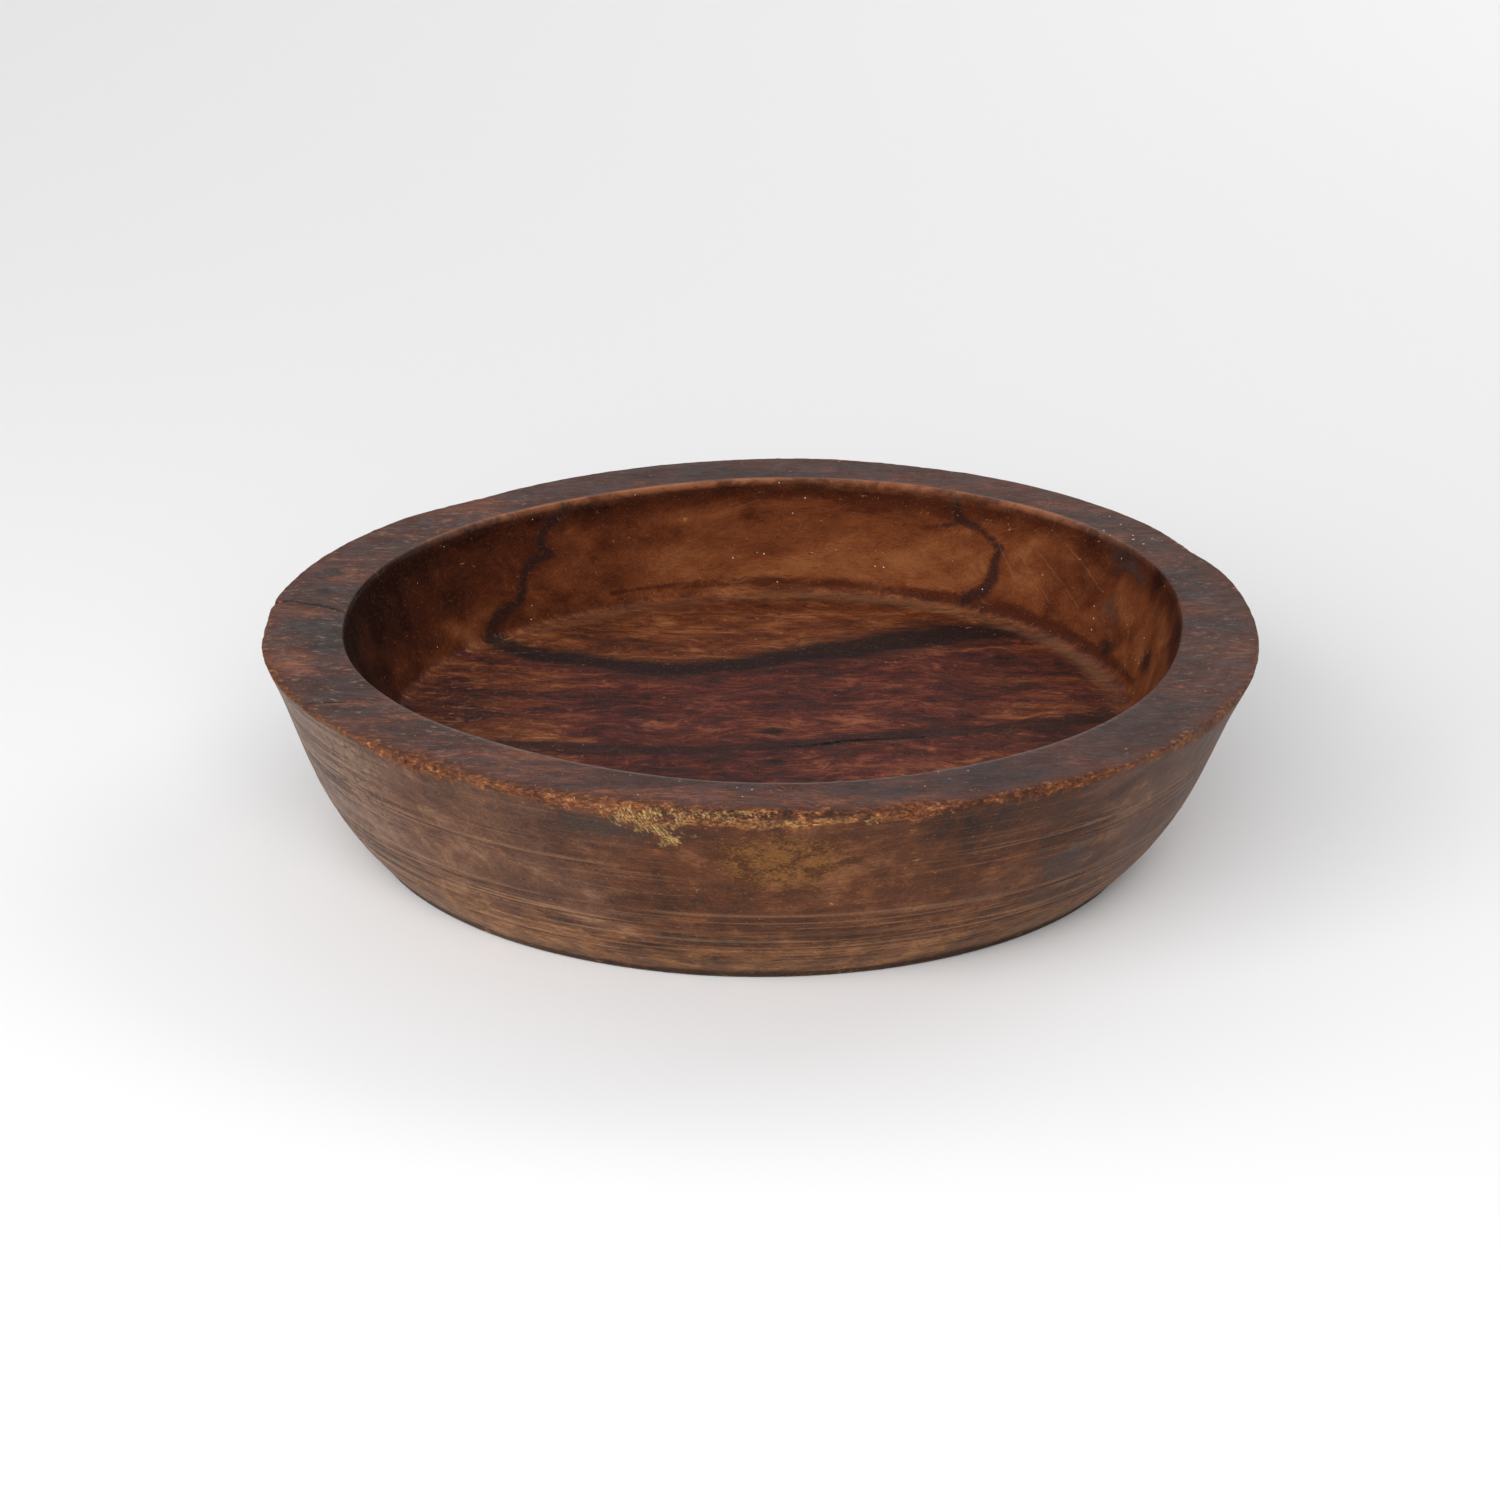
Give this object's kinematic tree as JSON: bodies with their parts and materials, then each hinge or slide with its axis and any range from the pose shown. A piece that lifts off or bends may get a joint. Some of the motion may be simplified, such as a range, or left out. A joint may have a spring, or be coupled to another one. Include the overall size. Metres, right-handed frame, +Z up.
{
  "type": "wooden bowl",
  "caption": "Wide, heavy turned bowl of dark hardwood with a flat base, outward-leaning wall, broad flat rim and shallow flat-floored hollow.",
  "frame": {"origin": "on the flat base, under the middle of the bowl's bounding box", "axes": "+Z up out of the hollow; +X along the wood's grain; -Y towards the side with the most worn rim"},
  "size_m": [0.4836, 0.4912, 0.105],
  "materials": {
    "dark_hardwood": "old, hand-worn and waxed; satin with a dull patina"
  },
  "bodies": {
    "root": {"bowl": "dark_hardwood"}
  },
  "joints": []
}
